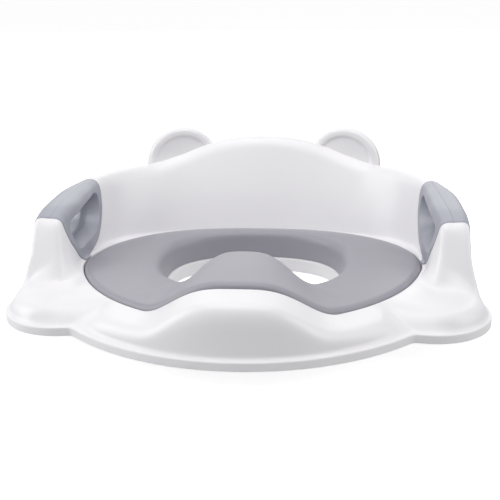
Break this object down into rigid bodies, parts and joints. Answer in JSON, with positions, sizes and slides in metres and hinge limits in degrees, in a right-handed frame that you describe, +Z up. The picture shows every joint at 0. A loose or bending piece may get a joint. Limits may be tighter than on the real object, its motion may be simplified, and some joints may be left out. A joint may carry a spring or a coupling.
{
  "type": "potty training seat",
  "caption": "Child's toilet training seat with a soft cushion, raised splash guard, side handles, wrap-round back and round ears.",
  "frame": {"origin": "centre of the footprint at the lower edge of the skirt", "axes": "+X to the right as seen from the front of the seat, +Y to the rear towards the backrest, +Z up"},
  "size_m": [0.3862, 0.3589, 0.1211],
  "materials": {
    "shell_white": "smooth white polypropylene with a soft gloss",
    "cushion_grey": "matte grey moulded soft foam",
    "grip_grey": "matte light grey soft plastic",
    "pad_grey": "dark grey rubber"
  },
  "bodies": {
    "root": {"seat_shell": "shell_white", "seat_cushion": "cushion_grey", "left_grip_inner": "grip_grey", "left_grip_outer": "grip_grey", "right_grip_inner": "grip_grey", "right_grip_outer": "grip_grey", "front_left_pad": "pad_grey", "front_right_pad": "pad_grey", "rear_left_pad": "pad_grey", "rear_right_pad": "pad_grey"}
  },
  "joints": []
}
